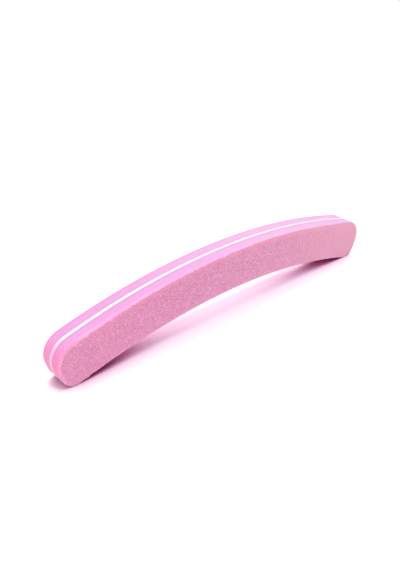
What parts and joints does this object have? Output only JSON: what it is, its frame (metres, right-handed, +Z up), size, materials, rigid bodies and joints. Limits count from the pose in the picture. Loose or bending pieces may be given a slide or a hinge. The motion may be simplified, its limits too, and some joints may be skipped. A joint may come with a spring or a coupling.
{
  "type": "emery board",
  "caption": "Curved sponge nail file: a stiff white core between two foam layers, faced with coarse and fine abrasive sheets, standing on its rounded tips.",
  "frame": {"origin": "on the resting plane, midway between the tips and midway through the thickness", "axes": "+X along the board from tip to tip, +Y through the layers towards the fine face, +Z up, from the tips towards the top of the curve"},
  "size_m": [0.178, 0.0112, 0.0308],
  "materials": {
    "core_plastic": "white plastic strip, cut edge with a satin sheen",
    "core_adhesive": "thin greyish adhesive film",
    "foam": "pink closed-cell foam, die-cut edge with fine pores",
    "sheet_adhesive": "thin pink-tinted adhesive film",
    "backing_paper": "dyed pink backing paper",
    "coarse_abrasive": "coarse mineral grains in a pink resin coat, matte and speckled",
    "fine_abrasive": "fine mineral grains in a pink resin coat, matte and even"
  },
  "bodies": {
    "root": {"core_strip": "core_plastic", "front_core_glue": "core_adhesive", "rear_core_glue": "core_adhesive", "front_foam": "foam", "rear_foam": "foam", "front_face_glue": "sheet_adhesive", "rear_face_glue": "sheet_adhesive", "coarse_paper": "backing_paper", "fine_paper": "backing_paper", "coarse_grit": "coarse_abrasive", "fine_grit": "fine_abrasive"}
  },
  "joints": []
}
